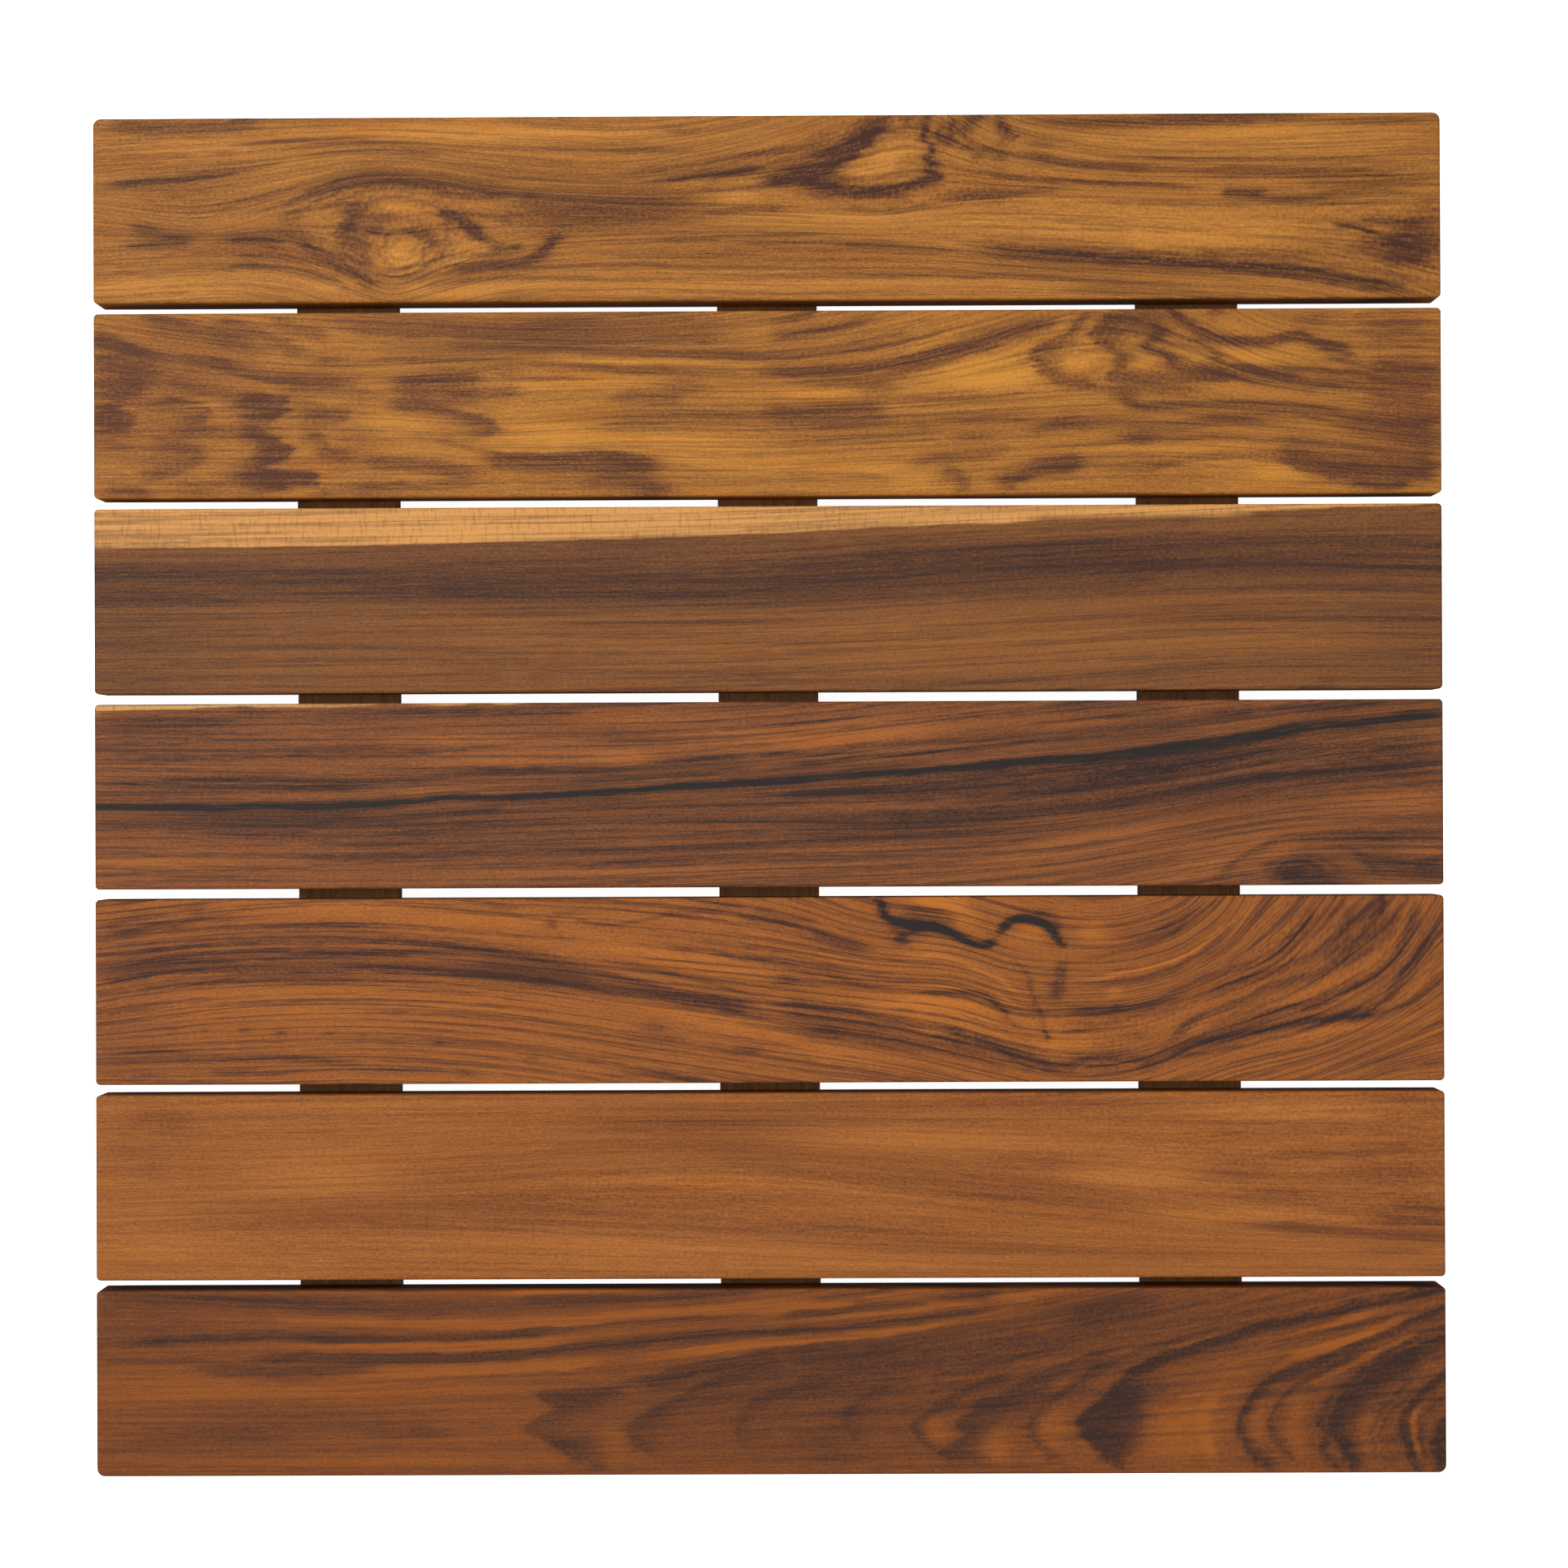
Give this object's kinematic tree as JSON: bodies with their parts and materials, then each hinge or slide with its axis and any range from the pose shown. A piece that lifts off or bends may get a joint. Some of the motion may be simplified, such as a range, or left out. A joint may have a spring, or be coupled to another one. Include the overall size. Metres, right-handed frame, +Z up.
{
  "type": "slatted bath mat",
  "caption": "Square slatted wooden bath mat: parallel boards with narrow drain gaps, screwed from below to cross battens on round rubber feet.",
  "frame": {"origin": "on the floor under the centre of the mat: the middle of the bottom of its bounding box", "axes": "+X along the slats, towards batten_right; +Y across the slats, towards slat_1; +Z up, out of the standing face"},
  "size_m": [0.508, 0.512, 0.0358],
  "materials": {
    "slat_teak": "oiled, satin",
    "batten_teak": "oiled, matt",
    "screw_steel": "plain",
    "foot_rubber": "matt"
  },
  "bodies": {
    "root": {"slat_1": "slat_teak", "slat_2": "slat_teak", "slat_3": "slat_teak", "slat_4": "slat_teak", "slat_5": "slat_teak", "slat_6": "slat_teak", "slat_7": "slat_teak", "batten_left": "batten_teak", "batten_centre": "batten_teak", "batten_right": "batten_teak", "slat_screws_left": "screw_steel", "slat_screws_centre": "screw_steel", "slat_screws_right": "screw_steel", "foot_screws_left": "screw_steel", "foot_screws_centre": "screw_steel", "foot_screws_right": "screw_steel", "foot_back_left": "foot_rubber", "foot_back_centre": "foot_rubber", "foot_back_right": "foot_rubber", "foot_middle_left": "foot_rubber", "foot_middle_centre": "foot_rubber", "foot_middle_right": "foot_rubber", "foot_front_left": "foot_rubber", "foot_front_centre": "foot_rubber", "foot_front_right": "foot_rubber"}
  },
  "joints": []
}
